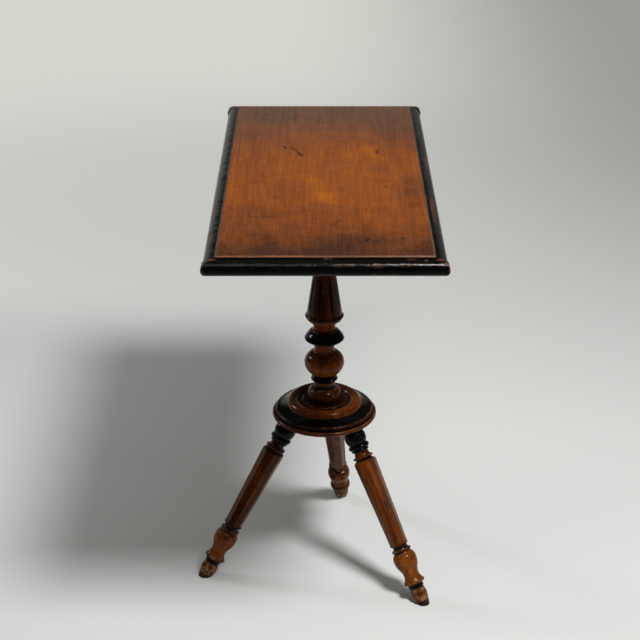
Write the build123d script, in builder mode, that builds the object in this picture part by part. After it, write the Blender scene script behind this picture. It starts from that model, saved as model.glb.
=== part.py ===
from build123d import *
import os
from math import cos, radians, sin, tan

# Side table on a turned pillar: a long moulded top, a carved and turned column,
# a turned platform and three splayed legs.
# Millimetres, +Z up. The origin is on the floor, on the column's axis.

# Overall sizes
table_height = 710.0
platform_seat_height = 310.0
platform_thickness = 31.0
platform_radius = 87.2

# Top panel
panel_width = 301.0
panel_length = 692.0
panel_thickness = 20.0
tongue_depth = 7.0
tongue_thickness = 8.0
tongue_drop = 8.0
tongue_clearance = 0.1

# Edge mouldings, measured out from the panel and down from its face
moulding_width = 18.5
moulding_thickness = 23.0
moulding_drop = 1.4
land_width = 3.0
quirk_depth = 1.0
roll_upper_height = 11.5
roll_lower_width = 7.0
end_moulding_projection = 2.0

# Bearer under the top
bearer_length = 240.0
bearer_width = 110.0
bearer_thickness = 22.0
bearer_bevel = 7.0

# Bearer screws
screw_shank_radius = 2.2
screw_head_radius = 4.4
screw_length = 32.0
screw_point_length = 5.0
screw_slot_width = 1.1
screw_slot_depth = 1.2
screw_head_angle = 82.0
screw_spacing_x = 98.0
screw_spacing_y = 74.0
screw_columns = 3
screw_rows = 2

# Column
column_radius = 33.3
column_tenon_radius = 13.0
tenon_clearance = 0.1
tenon_end_gap = 0.3
wedge_thin_end = 1.6
wedge_thick_end = 4.2
wedge_depth = 16.0

# Flutes in the column's cone
flute_count = 8
flute_width = 4.4
flute_depth = 2.0
flute_floor_width = 0.5
flute_point = 5.0
flute_top_inset = 4.0
flute_bottom_inset = 7.4
flute_start_angle = 27.0

# Legs
leg_reach = 216.0
leg_socket_radius = 57.2
leg_radius = 19.6
leg_tenon_radius = 10.0
leg_tenon_length = 19.0
leg_mortise_gap = 0.4
leg_facet_count = 8
leg_facet_top_radius = 19.4
leg_facet_bottom_radius = 15.2
sole_chamfer = 0.8

# One overrun serves all cuts
overrun = 5.0

# Heights that follow
platform_underside = platform_seat_height - platform_thickness
panel_underside = table_height - panel_thickness
land_height = table_height - moulding_drop
moulding_underside = land_height - moulding_thickness
tongue_top = table_height - tongue_drop
tongue_middle = tongue_top - tongue_thickness / 2
bearer_underside = panel_underside - bearer_thickness
column_height = bearer_underside - platform_seat_height

# Stations of the turned outlines. Each holds a height share, a radius share and the
# swell share of the arc that leads to the next station: out above zero, in below it,
# and a straight line at zero.

# Foot of the column: seat flange, bell-shaped cushion, ridge and short neck
column_foot_shares = [
    (0.000, 1.010, 0.000),
    (0.005, 1.010, 0.000),
    (0.006, 0.770, 0.000),
    (0.009, 0.790, 0.100),
    (0.056, 0.660, 0.000),
    (0.057, 0.625, 0.000),
    (0.058, 0.645, 0.000),
    (0.061, 0.645, 0.000),
    (0.063, 0.570, -0.012),
    (0.074, 0.525, 0.000),
    (0.096, 0.505, 0.000),
]
# Flared lower band, ball and the neck that sweeps up from it
column_ball_shares = [
    (0.097, 0.590, 0.014),
    (0.104, 0.675, -0.006),
    (0.129, 0.575, 0.108),
    (0.187, 0.994, 0.124),
    (0.243, 0.560, -0.035),
    (0.260, 0.496, 0.000),
    (0.291, 0.496, 0.000),
]
# Upper band with the ridge inside it, then the hollow up to the neck under the cone
column_band_shares = [
    (0.298, 0.715, 0.008),
    (0.305, 0.918, 0.013),
    (0.313, 0.988, 0.028),
    (0.349, 0.695, 0.000),
    (0.348, 0.655, 0.018),
    (0.354, 0.605, -0.020),
    (0.371, 0.535, -0.016),
]
# Bead under the cone and the sharp lip that the cone flares into
column_lip_shares = [
    (0.399, 0.690, 0.000),
    (0.401, 0.738, 0.028),
    (0.415, 0.895, 0.000),
    (0.416, 0.880, 0.000),
    (0.419, 0.930, 0.006),
    (0.427, 0.955, -0.012),
]
cone_base_share = 0.438
cone_base_radius_share = 0.872
cone_top_share = 0.634
cone_top_radius_share = 0.558
# Bead over the cone, hidden band, vase, ring and cap under the bearer
column_crown_shares = [
    (0.637, 0.530, 0.000),
    (0.639, 0.530, 0.070),
    (0.657, 0.530, 0.000),
    (0.658, 0.460, -0.020),
    (0.684, 0.450, 0.000),
    (0.686, 0.500, 0.080),
    (0.708, 0.760, 0.080),
    (0.730, 0.500, 0.000),
    (0.733, 0.455, -0.015),
    (0.752, 0.500, 0.060),
    (0.810, 0.830, 0.080),
    (0.905, 0.440, 0.000),
    (0.911, 0.430, 0.000),
    (0.913, 0.480, 0.080),
    (0.930, 0.480, 0.000),
    (0.932, 0.440, -0.070),
    (0.972, 0.860, 0.000),
    (0.976, 0.900, 0.015),
    (1.000, 0.900, 0.000),
]

# Platform: rim, bead, black hollow, the high raised ring, cove and the step inside it
platform_shares = [
    (0.000, 0.915, 0.000),
    (0.035, 0.950, 0.046),
    (0.295, 0.958, 0.000),
    (0.300, 0.934, 0.000),
    (0.318, 0.914, 0.026),
    (0.505, 0.907, 0.000),
    (0.515, 0.897, -0.012),
    (0.745, 0.728, 0.000),
    (0.758, 0.716, 0.075),
    (0.905, 0.500, -0.008),
    (0.850, 0.470, 0.000),
    (0.852, 0.448, 0.000),
    (0.930, 0.440, 0.008),
    (0.960, 0.425, 0.000),
    (1.000, 0.404, 0.000),
]

# Foot, bulb and ankle ring of a leg, up from the floor along its axis
leg_foot_shares = [
    (-0.060, 0.300, 0.055),
    (0.056, 0.705, 0.008),
    (0.083, 0.620, 0.000),
    (0.087, 0.600, 0.000),
    (0.090, 0.640, 0.030),
    (0.105, 0.650, 0.000),
    (0.108, 0.700, -0.020),
    (0.117, 0.905, 0.000),
    (0.124, 0.905, -0.060),
    (0.161, 0.658, -0.025),
    (0.192, 0.775, 0.060),
    (0.245, 1.000, 0.095),
    (0.285, 0.740, 0.000),
    (0.288, 0.715, 0.000),
    (0.294, 0.838, 0.010),
    (0.302, 0.838, 0.000),
    (0.306, 0.690, -0.040),
    (0.325, 0.675, 0.000),
]
leg_shaft_bottom_share = 0.331
leg_shaft_top_share = 0.784
leg_shaft_foot_radius_share = 0.830
leg_shaft_head_radius_share = 1.020
leg_shaft_dome_share = 0.070
# Groove, fillet, neck, rings and ball at the head of a leg
leg_head_shares = [
    (0.806, 0.715, 0.000),
    (0.814, 0.715, 0.000),
    (0.816, 0.865, 0.006),
    (0.823, 0.865, 0.000),
    (0.825, 0.740, -0.045),
    (0.847, 0.610, 0.000),
    (0.851, 0.620, 0.000),
    (0.853, 0.680, 0.075),
    (0.866, 0.690, 0.000),
    (0.868, 0.800, 0.120),
    (0.890, 0.790, 0.000),
    (0.893, 0.755, 0.000),
    (0.896, 0.790, 0.135),
    (0.960, 0.790, 0.000),
    (0.966, 0.730, 0.000),
    (1.050, 0.730, 0.000),
]
# The mortises were bored by eye, so each leg has its own heading about the column,
# its own share of the reach and its own turn in its round mortise
leg_left_heading = 198.0
leg_left_reach_share = 1.00
leg_left_turn = -19.0
leg_right_heading = 318.0
leg_right_reach_share = 1.03
leg_right_turn = 8.0
leg_rear_heading = 80.6
leg_rear_reach_share = 0.94
leg_rear_turn = 0.0
leg_headings = {"leg_left": leg_left_heading, "leg_right": leg_right_heading, "leg_rear": leg_rear_heading}
leg_reaches = {
    "leg_left": leg_reach * leg_left_reach_share,
    "leg_right": leg_reach * leg_right_reach_share,
    "leg_rear": leg_reach * leg_rear_reach_share,
}
leg_turns = {"leg_left": leg_left_turn, "leg_right": leg_right_turn, "leg_rear": leg_rear_turn}

os.makedirs("parts", exist_ok=True)


def draw_outline(stations, height, radius):
    """Draw lines and arcs through turned stations, from the foot of a turning to its top."""
    for (low, near, swell), (high, far, _) in zip(stations, stations[1:]):
        start = (near * radius, low * height)
        end = (far * radius, high * height)
        if swell:
            SagittaArc(start, end, -swell * radius)
        else:
            Line(start, end)


def outline_plane(base):
    """Give the upright plane of a turned outline whose heights start at a base height."""
    return Plane((0, 0, base), x_dir=(1, 0, 0), z_dir=(0, -1, 0))


def close_on_axis(stations, height, radius):
    """Close a turned outline with straight lines along its axis."""
    low, near, _ = stations[0]
    high, far, _ = stations[-1]
    Polyline(
        (far * radius, high * height),
        (0, high * height),
        (0, low * height),
        (near * radius, low * height),
    )


def save(piece, name):
    """Label a finished piece and write it to its own file."""
    piece.label = name
    export_step(piece, f"parts/{name}.step")


# Top panel: a board with a tongue all round, an arris worn down to the mouldings
# and pilot holes below
with BuildPart() as top_panel:
    with BuildSketch(Plane.XY.offset(panel_underside)):
        Rectangle(panel_width, panel_length)
    extrude(amount=panel_thickness)
    arris_edges = top_panel.faces().sort_by(Axis.Z)[-1].edges()
    chamfer(arris_edges, length=moulding_drop)
    with BuildSketch(Plane.XY.offset(tongue_top)):
        Rectangle(panel_width + 2 * tongue_depth, panel_length + 2 * tongue_depth)
    extrude(amount=-tongue_thickness)
    with Locations(Plane((0, 0, panel_underside), z_dir=(0, 0, -1))):
        with GridLocations(screw_spacing_x, screw_spacing_y, screw_columns, screw_rows):
            Hole(screw_shank_radius, depth=screw_length - bearer_thickness)
save(top_panel.part, "top_panel")


def draw_moulding(start, roll_width):
    """Draw a moulding's section: land, quirk, roll and flat back, x out from the panel."""
    roll_start = start + land_width
    roll_top = land_height - quirk_depth
    nose_height = roll_top - roll_upper_height
    back_end = roll_start + roll_width - roll_lower_width
    Polyline(
        (back_end, moulding_underside),
        (start, moulding_underside),
        (start, land_height),
        (roll_start, land_height),
        (roll_start, roll_top),
    )
    EllipticalCenterArc(
        (roll_start, nose_height), roll_width, roll_upper_height, start_angle=0, arc_size=90
    )
    EllipticalCenterArc(
        (back_end, nose_height),
        roll_lower_width,
        nose_height - moulding_underside,
        start_angle=0,
        arc_size=-90,
    )


roll_width = moulding_width - land_width
half_width = panel_width / 2
half_length = panel_length / 2
groove_width = panel_width + 2 * (tongue_depth + tongue_clearance)
groove_length = panel_length + 2 * (tongue_depth + tongue_clearance)
groove_height = tongue_thickness + 2 * tongue_clearance

# Side mouldings: one section run along each long edge, grooved for the tongue
for name, side in (("moulding_left", -1), ("moulding_right", 1)):
    section_plane = Plane(
        (side * half_width, side * half_length, 0), x_dir=(side, 0, 0), z_dir=(0, -side, 0)
    )
    with BuildPart() as side_moulding:
        with BuildSketch(section_plane):
            with BuildLine():
                draw_moulding(0, roll_width)
            make_face()
        extrude(amount=panel_length)
        with BuildSketch(Plane.XY.offset(tongue_middle)):
            Rectangle(groove_width, groove_length)
        extrude(amount=groove_height / 2, both=True, mode=Mode.SUBTRACT)
    save(side_moulding.part, name)

# End mouldings: the section run across the full width and returned round both ends.
# The panel has shrunk between them, so their ends stand out past the side mouldings.
end_half_width = half_width + moulding_width + end_moulding_projection
for name, end in (("moulding_front", -1), ("moulding_rear", 1)):
    section_plane = Plane(
        (-end * end_half_width, end * half_length, 0), x_dir=(0, end, 0), z_dir=(end, 0, 0)
    )
    return_plane = Plane((0, end * half_length, 0), x_dir=(-end, 0, 0), z_dir=(0, end, 0))
    with BuildPart() as end_moulding:
        with BuildSketch(section_plane):
            with BuildLine():
                draw_moulding(0, roll_width)
            make_face()
        extrude(amount=2 * end_half_width)
        with BuildSketch(return_plane):
            with BuildLine():
                draw_moulding(half_width, roll_width + end_moulding_projection)
            make_face()
            mirror(about=Plane.YZ)
            with Locations((0, (land_height + moulding_underside) / 2)):
                Rectangle(panel_width, moulding_thickness)
        extrude(amount=moulding_width, mode=Mode.INTERSECT)
        with BuildSketch(Plane.XY.offset(tongue_middle)):
            Rectangle(groove_width, groove_length)
        extrude(amount=groove_height / 2, both=True, mode=Mode.SUBTRACT)
    save(end_moulding.part, name)

# Bearer: a bevelled block across the underside, bored for the column and its screws
bearer_bottom = Plane((0, 0, bearer_underside), z_dir=(0, 0, -1))
with BuildPart() as top_bearer:
    with BuildSketch(Plane.XY.offset(bearer_underside)):
        Rectangle(bearer_length, bearer_width)
    extrude(amount=bearer_thickness)
    bevel_edges = top_bearer.faces().sort_by(Axis.Z)[0].edges()
    chamfer(bevel_edges, length=bearer_bevel)
    with Locations(bearer_bottom):
        Hole(column_tenon_radius + tenon_clearance)
        with GridLocations(screw_spacing_x, screw_spacing_y, screw_columns, screw_rows):
            CounterSinkHole(
                screw_shank_radius, screw_head_radius, counter_sink_angle=screw_head_angle
            )
save(top_bearer.part, "top_bearer")

# Bearer screws: slotted countersunk wood screws, driven up through the bearer
screw_head_height = (screw_head_radius - screw_shank_radius) / tan(radians(screw_head_angle / 2))
with BuildPart() as bearer_screw:
    with BuildSketch(Plane.XZ):
        with BuildLine():
            Polyline(
                (0, bearer_underside),
                (screw_head_radius, bearer_underside),
                (screw_shank_radius, bearer_underside + screw_head_height),
                (screw_shank_radius, bearer_underside + screw_length - screw_point_length),
                (0, bearer_underside + screw_length),
                close=True,
            )
        make_face()
    revolve(axis=Axis.Z)
    with BuildSketch(Plane.XY.offset(bearer_underside)):
        Rectangle(2 * screw_head_radius, screw_slot_width)
    extrude(amount=screw_slot_depth, mode=Mode.SUBTRACT)
with BuildPart() as bearer_screws:
    with GridLocations(screw_spacing_x, screw_spacing_y, screw_columns, screw_rows):
        add(bearer_screw.part)
save(bearer_screws.part, "bearer_screws")


def draw_wedge(thick_end_height, direction):
    """Draw a wedge's outline; it thins in the given direction along the column."""
    thin_end_height = thick_end_height + direction * wedge_depth
    Polyline(
        (-wedge_thick_end / 2, thick_end_height),
        (wedge_thick_end / 2, thick_end_height),
        (wedge_thin_end / 2, thin_end_height),
        (-wedge_thin_end / 2, thin_end_height),
        close=True,
    )


# Column: one turning with a round tenon at each end, its cone cut with pointed flutes
column_stations = (
    column_foot_shares
    + column_ball_shares
    + column_band_shares
    + column_lip_shares
    + [(cone_base_share, cone_base_radius_share, 0.0), (cone_top_share, cone_top_radius_share, 0.0)]
    + column_crown_shares
)
column_tenon_top = panel_underside - tenon_end_gap
cone_bottom = platform_seat_height + cone_base_share * column_height
cone_top = platform_seat_height + cone_top_share * column_height
cone_bottom_radius = cone_base_radius_share * column_radius
cone_slope = (cone_base_radius_share - cone_top_radius_share) * column_radius / (cone_top - cone_bottom)


def draw_flute(flute_low, flute_high, width):
    """Draw a flute's outline along the cone, pointed at both ends."""
    point = min(flute_point, (flute_high - flute_low) / 2)
    Polyline(
        (0, flute_low),
        (width / 2, flute_low + point),
        (width / 2, flute_high - point),
        (0, flute_high),
        (-width / 2, flute_high - point),
        (-width / 2, flute_low + point),
        close=True,
    )


cone_lean = Vector(1, 0, cone_slope)
flute_surface = Plane(
    (cone_bottom_radius, 0, cone_bottom), x_dir=(0, 1, 0), z_dir=cone_lean.normalized()
)
flute_high = cone_top - cone_bottom - flute_top_inset
with BuildPart() as flute_cutter:
    with BuildSketch(flute_surface):
        with BuildLine():
            draw_flute(flute_bottom_inset, flute_high, flute_width)
        make_face()
    with BuildSketch(flute_surface.offset(-flute_depth)):
        with BuildLine():
            draw_flute(flute_bottom_inset + flute_depth, flute_high - flute_depth, flute_floor_width)
        make_face()
    loft(ruled=True)

with BuildPart() as column:
    with BuildSketch(outline_plane(platform_seat_height)):
        with BuildLine():
            draw_outline(column_stations, column_height, column_radius)
            close_on_axis(column_stations, column_height, column_radius)
        make_face()
    revolve(axis=Axis.Z)
    with BuildSketch(Plane.XY.offset(bearer_underside)):
        Circle(column_tenon_radius)
    extrude(amount=column_tenon_top - bearer_underside)
    with BuildSketch(Plane.XY.offset(platform_underside)):
        Circle(column_tenon_radius)
    extrude(amount=platform_thickness)
    with PolarLocations(0, flute_count, start_angle=flute_start_angle):
        add(flute_cutter.part, mode=Mode.SUBTRACT)
    with BuildSketch(Plane.XZ):
        with BuildLine():
            draw_wedge(column_tenon_top, -1)
        make_face()
        with BuildLine():
            draw_wedge(platform_underside, 1)
        make_face()
    extrude(amount=column_tenon_radius + overrun, both=True, mode=Mode.SUBTRACT)
save(column.part, "column")

# Wedges that spread the column's two tenons in their holes
for name, thick_end_height, direction in (
    ("wedge_upper", column_tenon_top, -1),
    ("wedge_lower", platform_underside, 1),
):
    with BuildPart() as wedge:
        with BuildSketch(Plane.XZ):
            with BuildLine():
                draw_wedge(thick_end_height, direction)
            make_face()
        extrude(amount=column_tenon_radius, both=True)
        with BuildSketch(Plane.XY.offset(thick_end_height)):
            Circle(column_tenon_radius)
        extrude(amount=direction * wedge_depth, mode=Mode.INTERSECT)
    save(wedge.part, name)


def heading_vector(heading):
    """Give the level direction of a heading about the column."""
    return Vector(cos(radians(heading)), sin(radians(heading)), 0)


def leg_foot_point(name):
    """Give the point on the floor that a leg's axis reaches."""
    return heading_vector(leg_headings[name]) * leg_reaches[name]


def leg_axis(name):
    """Give the vector from a leg's foot up its axis to the platform's underside."""
    socket = heading_vector(leg_headings[name]) * leg_socket_radius
    return socket + Vector(0, 0, platform_underside) - leg_foot_point(name)


def leg_outline_plane(name):
    """Give the plane of a leg's outline: x out from its axis and y up along it."""
    across = heading_vector(leg_headings[name] + 90)
    return Plane(leg_foot_point(name), x_dir=across.cross(leg_axis(name)), z_dir=-across)


def leg_section_plane(name, station):
    """Give the plane square to a leg's axis at a distance up from the floor."""
    up = leg_axis(name).normalized()
    across = heading_vector(leg_headings[name] + 90)
    return Plane(leg_foot_point(name) + up * station, x_dir=across, z_dir=up)


# Platform: a turned disc bored for the column, with three slanted mortises below
with BuildPart() as platform:
    with BuildSketch(outline_plane(platform_underside)):
        with BuildLine():
            draw_outline(platform_shares, platform_thickness, platform_radius)
            close_on_axis(platform_shares, platform_thickness, platform_radius)
        make_face()
    revolve(axis=Axis.Z)
    with BuildSketch(Plane.XY.offset(platform_underside)):
        Circle(column_tenon_radius + tenon_clearance)
    extrude(amount=platform_thickness, mode=Mode.SUBTRACT)
    for name in leg_headings:
        with BuildSketch(leg_section_plane(name, leg_axis(name).length - leg_radius)):
            Circle(leg_tenon_radius + tenon_clearance)
        extrude(amount=leg_radius + leg_tenon_length + leg_mortise_gap, mode=Mode.SUBTRACT)
save(platform.part, "platform")

# Legs: each one turning, its shaft planed to flats, its foot cut level with the floor
# and its shoulder cut to the platform's underside
leg_stations = (
    leg_foot_shares
    + [
        (leg_shaft_bottom_share, leg_shaft_foot_radius_share, 0.0),
        (leg_shaft_top_share, leg_shaft_head_radius_share, leg_shaft_dome_share),
    ]
    + leg_head_shares
)
for name in leg_headings:
    leg_length = leg_axis(name).length
    shaft_bottom = leg_shaft_bottom_share * leg_length
    shaft_top = leg_head_shares[0][0] * leg_length
    with BuildPart() as shaft_flats:
        with BuildSketch(leg_section_plane(name, shaft_bottom)):
            RegularPolygon(leg_facet_bottom_radius, leg_facet_count, rotation=leg_turns[name])
        with BuildSketch(leg_section_plane(name, shaft_top)):
            RegularPolygon(leg_facet_top_radius, leg_facet_count, rotation=leg_turns[name])
        loft(ruled=True)
    with BuildPart() as shaft_waste:
        with BuildSketch(leg_section_plane(name, shaft_bottom)):
            Circle(leg_radius + overrun)
        extrude(amount=shaft_top - shaft_bottom)
        add(shaft_flats.part, mode=Mode.SUBTRACT)
    with BuildPart() as leg:
        with BuildSketch(leg_outline_plane(name)):
            with BuildLine():
                draw_outline(leg_stations, leg_length, leg_radius)
                close_on_axis(leg_stations, leg_length, leg_radius)
            make_face()
        revolve(axis=Axis(leg_foot_point(name), leg_axis(name)))
        add(shaft_waste.part, mode=Mode.SUBTRACT)
        split(bisect_by=Plane.XY.offset(platform_underside), keep=Keep.BOTTOM)
        split(bisect_by=Plane.XY, keep=Keep.TOP)
        sole_edges = leg.faces().sort_by(Axis.Z)[0].edges()
        chamfer(sole_edges, length=sole_chamfer)
        with BuildSketch(leg_section_plane(name, leg_length - leg_radius)):
            Circle(leg_tenon_radius)
        extrude(amount=leg_radius + leg_tenon_length)
    save(leg.part, name)
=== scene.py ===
# %% [markdown]
# # A worn side table with an ebonised edge
# The table was built first as solid pieces at their real size. Those pieces come in
# here as a fixed frame. This lesson gives each of them its finish: a sun-faded and
# stained top, chipped black mouldings, and turned wood with painted bands.

# %% Load the solid pieces
import math

import bpy
import numpy as np
from mathutils import Matrix, Vector


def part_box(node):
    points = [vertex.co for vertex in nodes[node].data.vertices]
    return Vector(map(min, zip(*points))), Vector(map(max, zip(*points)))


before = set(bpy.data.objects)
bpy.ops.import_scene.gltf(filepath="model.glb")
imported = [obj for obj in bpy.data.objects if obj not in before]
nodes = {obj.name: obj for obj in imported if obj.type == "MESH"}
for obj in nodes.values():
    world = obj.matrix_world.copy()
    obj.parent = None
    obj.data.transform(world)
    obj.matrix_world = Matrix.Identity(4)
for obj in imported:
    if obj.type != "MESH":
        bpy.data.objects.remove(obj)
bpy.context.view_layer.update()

scene = bpy.context.scene

# %% [markdown]
# ## The camera
# The photograph was taken from a little over twice the table's height, looking down by
# about 25 degrees. A long lens keeps the top's far end nearly as wide as its near end.
# The focal length is known in pixels, so it is turned into millimetres on Blender's
# 36 mm sensor.

# %% Stand the camera where the photograph was taken
picture_width = 640
focal_pixels = 1570
sensor_width = 36.0
camera_place = (-0.0072, -2.3349, 1.5371)
camera_pitch = math.radians(24.91)

camera_data = bpy.data.cameras.new("camera")
camera_data.sensor_width = sensor_width
camera_data.lens = focal_pixels * sensor_width / picture_width
camera = bpy.data.objects.new("camera", camera_data)
camera.location = camera_place
camera.rotation_euler = (math.pi / 2 - camera_pitch, 0, 0)
scene.collection.objects.link(camera)
scene.camera = camera
print("lens in millimetres:", round(camera_data.lens, 1))

# %% [markdown]
# ## A shorthand for shader nodes
# A procedural finish is a small graph of nodes. Written out in full, every node takes
# five lines, and the recipe gets lost. These helpers make one node in one line, so a
# material reads from top to bottom like a list of coats. The first class holds what any
# graph needs, and the world uses it too. The second adds places, patterns and colours,
# and the third what only a material has.


# %% Make one node and wire it
class Recipe:
    """A graph of shader nodes under construction, with a method for each kind of sum."""

    def __init__(self, tree):
        self.tree = tree

    def node(self, kind, values, **settings):
        """Add a node, then set each input to a number or wire it to a socket."""
        made = self.tree.nodes.new("ShaderNode" + kind)
        for key, value in settings.items():
            setattr(made, key, value)
        for key, value in values.items():
            if isinstance(value, bpy.types.NodeSocket):
                self.tree.links.new(value, made.inputs[key])
            else:
                made.inputs[key].default_value = value
        return made

    def axes(self, vector):
        """The three parts of a vector as three numbers."""
        split = self.node("SeparateXYZ", {"Vector": vector})
        return split.outputs["X"], split.outputs["Y"], split.outputs["Z"]

    def math(self, operation, first, second=0.0, clamp=False):
        """One sum on two numbers."""
        made = self.node("Math", {0: first, 1: second}, operation=operation, use_clamp=clamp)
        return made.outputs[0]

    def plus(self, *terms):
        """Several numbers added up."""
        total = terms[0]
        for term in terms[1:]:
            total = self.math("ADD", total, term)
        return total

    def times(self, *factors):
        """Several numbers multiplied."""
        product = factors[0]
        for factor in factors[1:]:
            product = self.math("MULTIPLY", product, factor)
        return product

    def most(self, first, second):
        """The larger of two numbers."""
        return self.math("MAXIMUM", first, second)

    def remap(self, value, low, high, to_low=0.0, to_high=1.0):
        """Ease a number from one range to another, flat beyond both ends."""
        values = {"Value": value, "From Min": low, "From Max": high}
        values.update({"To Min": to_low, "To Max": to_high})
        return self.node("MapRange", values, interpolation_type="SMOOTHSTEP").outputs["Result"]


print("sums:", ", ".join(name for name in vars(Recipe) if not name.startswith("_")))


# %% Add places, patterns and colours
class Pattern(Recipe):
    """A recipe that knows the place on a piece, and draws on it."""

    def place(self):
        """The point on the piece, in metres, in the frame that all pieces share."""
        return self.node("TexCoord", {}).outputs["Object"]

    def length(self, vector):
        """How long a vector is."""
        return self.node("VectorMath", {0: vector}, operation="LENGTH").outputs["Value"]

    def stretched(self, vector, offset=(0, 0, 0), scale=(1, 1, 1)):
        """Stretch and shift the place before a pattern reads it."""
        values = {"Vector": vector, "Location": offset, "Scale": scale}
        return self.node("Mapping", values).outputs[0]

    def seen_from(self, vector, origin=(0, 0, 0), rotation=(0, 0, 0), scale=(1, 1, 1)):
        """The place as measured from a shifted, turned and scaled set of axes."""
        values = {"Vector": vector, "Location": origin, "Rotation": rotation, "Scale": scale}
        return self.node("Mapping", values, vector_type="TEXTURE").outputs[0]

    def noise(self, vector, scale, detail=3.0, roughness=0.55, distortion=0.0):
        """Cloudy noise between 0 and 1; scale is in clouds per metre."""
        values = {"Vector": vector, "Scale": scale, "Detail": detail}
        values.update({"Roughness": roughness, "Distortion": distortion})
        return self.node("TexNoise", values).outputs["Fac"]

    def ramp(self, value, stops, interpolation="LINEAR"):
        """Colours along a number. Stops are pairs of a position and a colour."""
        made = self.node("ValToRGB", {"Fac": value})
        band = made.color_ramp
        band.interpolation = interpolation
        while len(band.elements) < len(stops):
            band.elements.new(1.0)
        for element, (position, colour) in zip(band.elements, stops):
            element.position = position
            element.color = (*colour, 1.0)[:4]
        return made.outputs["Color"]

    def mix(self, share, first, second, blend="MIX"):
        """Blend two colours by a share between 0 and 1."""
        made = self.node("Mix", {0: share}, data_type="RGBA", blend_type=blend)
        for index, colour in ((6, first), (7, second)):
            if isinstance(colour, bpy.types.NodeSocket):
                self.tree.links.new(colour, made.inputs[index])
            else:
                made.inputs[index].default_value = (*colour, 1.0)
        return made.outputs[2]


print("patterns:", ", ".join(name for name in vars(Pattern) if not name.startswith("_")))

# %% Add the probes, the relief and the shader of a finish
occlusion_samples = 8


class Coat(Pattern):
    """The recipe of one material, from the place on a piece to its shader."""

    def __init__(self, name):
        self.material = bpy.data.materials.new(name)
        self.material.use_nodes = True
        super().__init__(self.material.node_tree)
        self.tree.nodes.clear()

    def occluded(self, reach, **settings):
        """How much of the space round a point is blocked within a reach, from 0 to 1."""
        probe = self.node(
            "AmbientOcclusion", {"Distance": reach}, samples=occlusion_samples, **settings
        )
        return self.math("SUBTRACT", 1.0, probe.outputs["AO"], clamp=True)

    def recess(self, reach):
        """How far a point lies in a corner or a groove, from 0 in the open to 1."""
        return self.occluded(reach)

    def arris(self, reach):
        """How sharp an outer edge is, from 0 on a flat to 1, seen from inside the wood."""
        return self.occluded(reach, inside=True, only_local=True)

    def relief(self, *layers):
        """A bumpy normal from pairs of a height between 0 and 1 and its depth in metres."""
        height = 0.0
        for layer, depth in layers:
            height = self.plus(self.times(layer, depth), height)
        return self.node("Bump", {"Height": height, "Distance": 1.0}).outputs["Normal"]

    def finish(self, values):
        """End the coat in a Principled shader and give back the material."""
        shader = self.node("BsdfPrincipled", values)
        output = self.node("OutputMaterial", {"Surface": shader.outputs["BSDF"]})
        output.is_active_output = True
        return self.material


print("coats:", ", ".join(name for name in vars(Coat) if not name.startswith("_")))

# %% [markdown]
# ## The floor
# The table stands on a pale sweep of studio floor that is brightest at the back and on
# the left. Stronger lamps there would wash out the table, so the floor itself glows a
# little. Only the camera and the polish see the glow, which throws no light on the
# table. In front of the table it is the other way round: there the polish mirrors a dim
# floor, which keeps the black parts black.

# %% Lay the floor
floor_radius = 14.0
floor_side_count = 64
turn = np.linspace(0, 2 * np.pi, floor_side_count, endpoint=False)
floor_rim = floor_radius * np.stack([np.cos(turn), np.sin(turn), 0 * turn], 1)
floor_mesh = bpy.data.meshes.new("floor")
floor_mesh.from_pydata(floor_rim.tolist(), [], [list(range(floor_side_count))])
floor = bpy.data.objects.new("floor", floor_mesh)
scene.collection.objects.link(floor)
print("floor across in metres:", 2 * floor_radius)

# %% Paint the floor and let parts of it glow
floor_colour = (0.665, 0.673, 0.661)
dim_floor_colour = (0.20, 0.20, 0.20)
glow_colour = (1.0, 1.0, 0.92, 1)

pale = Coat("pale_floor")
floor_place = pale.place()
from_table = pale.length(floor_place)
across, along = pale.axes(floor_place)[:2]
light_path = pale.node("LightPath", {}).outputs

# Each glow eases in from one distance in metres to another, up to its own strength
far_glow = pale.remap(from_table, 1.4, 4.4, 0.0, 0.15)
left_glow = pale.remap(across, 1.2, -0.2, 0.0, 0.34)
left_glow = pale.times(left_glow, pale.remap(from_table, 0.9, 3.2))
right_part = pale.times(pale.remap(across, -0.10, 0.25), pale.remap(along, 0.0, 0.5))
middle_part = pale.most(pale.remap(along, 0.80, 1.2), right_part)
middle_glow = pale.times(middle_part, pale.remap(from_table, 2.6, 1.3, 0.0, 0.09))
middle_glow = pale.times(middle_glow, pale.remap(across, 1.0, 0.1, 0.25, 1.0))

dim = pale.times(pale.remap(along, -0.3, -1.2), light_path["Is Glossy Ray"])
mirrored = pale.math("SUBTRACT", light_path["Is Glossy Ray"], dim)
seen = pale.most(light_path["Is Camera Ray"], mirrored)
floor_values = {
    "Base Color": pale.mix(dim, floor_colour, dim_floor_colour),
    "Roughness": 0.75,
    "Emission Color": glow_colour,
    "Emission Strength": pale.times(pale.plus(far_glow, left_glow, middle_glow), seen),
}
floor_mesh.materials.append(pale.finish(floor_values))
print("floor material:", pale.material.name, "with", len(pale.tree.nodes), "nodes")

# %% [markdown]
# ## The lamps
# One large soft lamp, high on the right and in front, makes the long soft shadow to the
# left. A weak fill behind on the left and another low on the right put the small
# highlights on the balls and the feet. Two reflector cards draw the line of light along
# the front moulding. They show in the polish only and light nothing, so they can stand
# wherever that line asks for them.

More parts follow.
